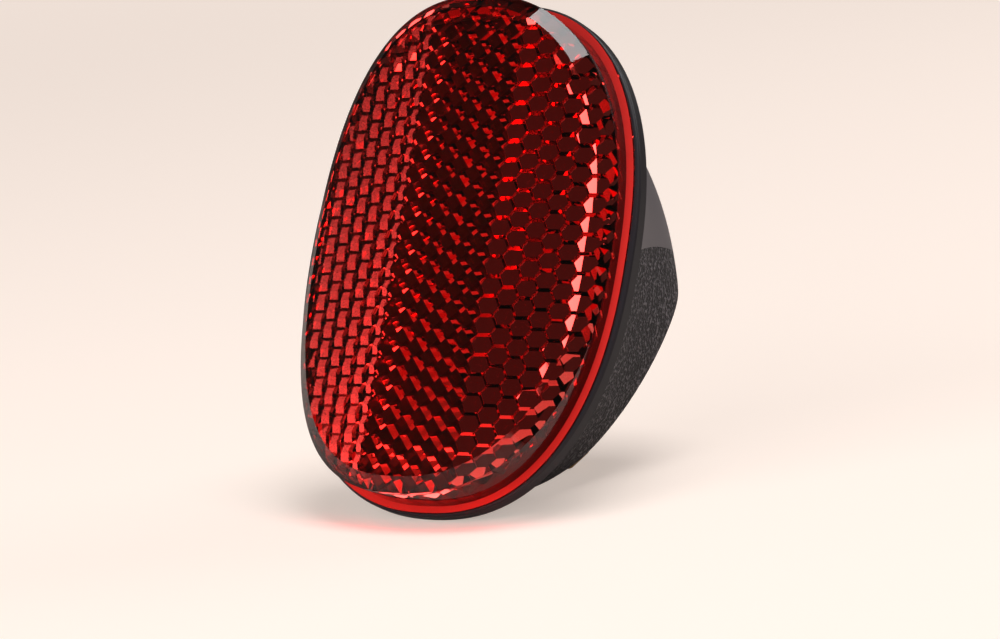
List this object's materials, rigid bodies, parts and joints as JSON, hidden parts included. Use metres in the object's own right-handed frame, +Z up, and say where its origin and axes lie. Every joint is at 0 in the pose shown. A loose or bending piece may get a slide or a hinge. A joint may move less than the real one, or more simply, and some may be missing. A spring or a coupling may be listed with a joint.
{
  "type": "bicycle rear reflector",
  "caption": "Oval red corner-cube reflector lens in a black plastic mudguard bracket, with mounting bolt, washer and nut.",
  "frame": {"origin": "on the ground, at the middle of the rectangle that the whole reflector covers", "axes": "+Z up as the reflector lies at rest, -Y is the way the lens faces, +X to the right of someone who looks at the lens; the lens leans back from the vertical"},
  "size_m": [0.0638, 0.071, 0.0844],
  "materials": {
    "red_lens": "clear red moulded acrylic with a polished front and corner-cube prisms behind",
    "grained_plastic": "black moulded plastic, smooth on the bezel and coarse-grained on the foot",
    "satin_plastic": "black moulded plastic with a satin skin",
    "yellow_zinc": "steel, zinc plated and yellow passivated"
  },
  "bodies": {
    "root": {"reflector_lens": "red_lens", "bracket_body": "grained_plastic", "top_cover": "satin_plastic", "mounting_bolt": "yellow_zinc", "hex_nut": "yellow_zinc", "plain_washer": "yellow_zinc"}
  },
  "joints": []
}
